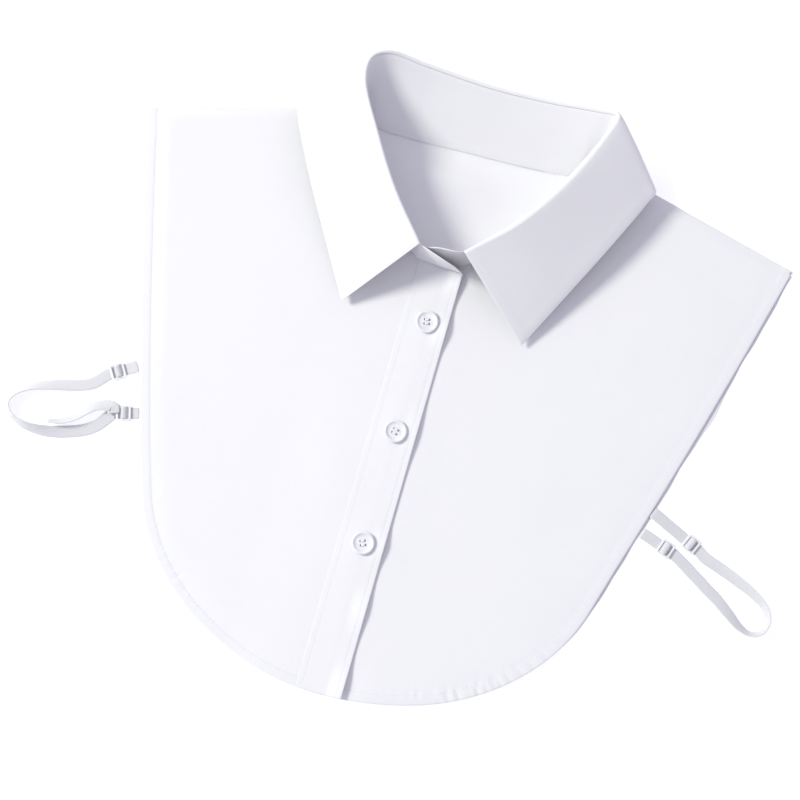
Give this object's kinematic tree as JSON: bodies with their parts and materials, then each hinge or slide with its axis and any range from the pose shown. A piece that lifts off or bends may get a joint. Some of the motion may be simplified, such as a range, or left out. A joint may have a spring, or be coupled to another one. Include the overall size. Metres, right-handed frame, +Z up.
{
  "type": "detachable shirt collar",
  "caption": "Detachable shirt collar with a buttoned bib front, a turned-down collar and elastic side straps, laid flat on its back panel.",
  "frame": {"origin": "middle of the bounding box in plan, on the surface the garment lies on", "axes": "+X across the shoulders towards the wearer's left arm, +Y from the hem to the collar, +Z up out of the bib"},
  "size_m": [0.4462, 0.3574, 0.0335],
  "materials": {
    "poplin": "matte",
    "elastic": "matte",
    "button": "semi-gloss",
    "slide": "semi-gloss"
  },
  "bodies": {
    "root": {"back_panel": "poplin", "front_right": "poplin", "front_left": "poplin", "placket": "poplin", "collar_stand": "poplin", "collar_leaf": "poplin", "button_top": "button", "button_middle": "button", "button_bottom": "button", "tab_left_front": "elastic", "slide_left_front": "slide", "tab_left_back": "elastic", "slide_left_back": "slide", "tab_right_front": "elastic", "slide_right_front": "slide", "tab_right_back": "elastic", "slide_right_back": "slide", "strap_right": "elastic", "strap_left": "elastic", "strap_left_tail": "elastic"}
  },
  "joints": []
}
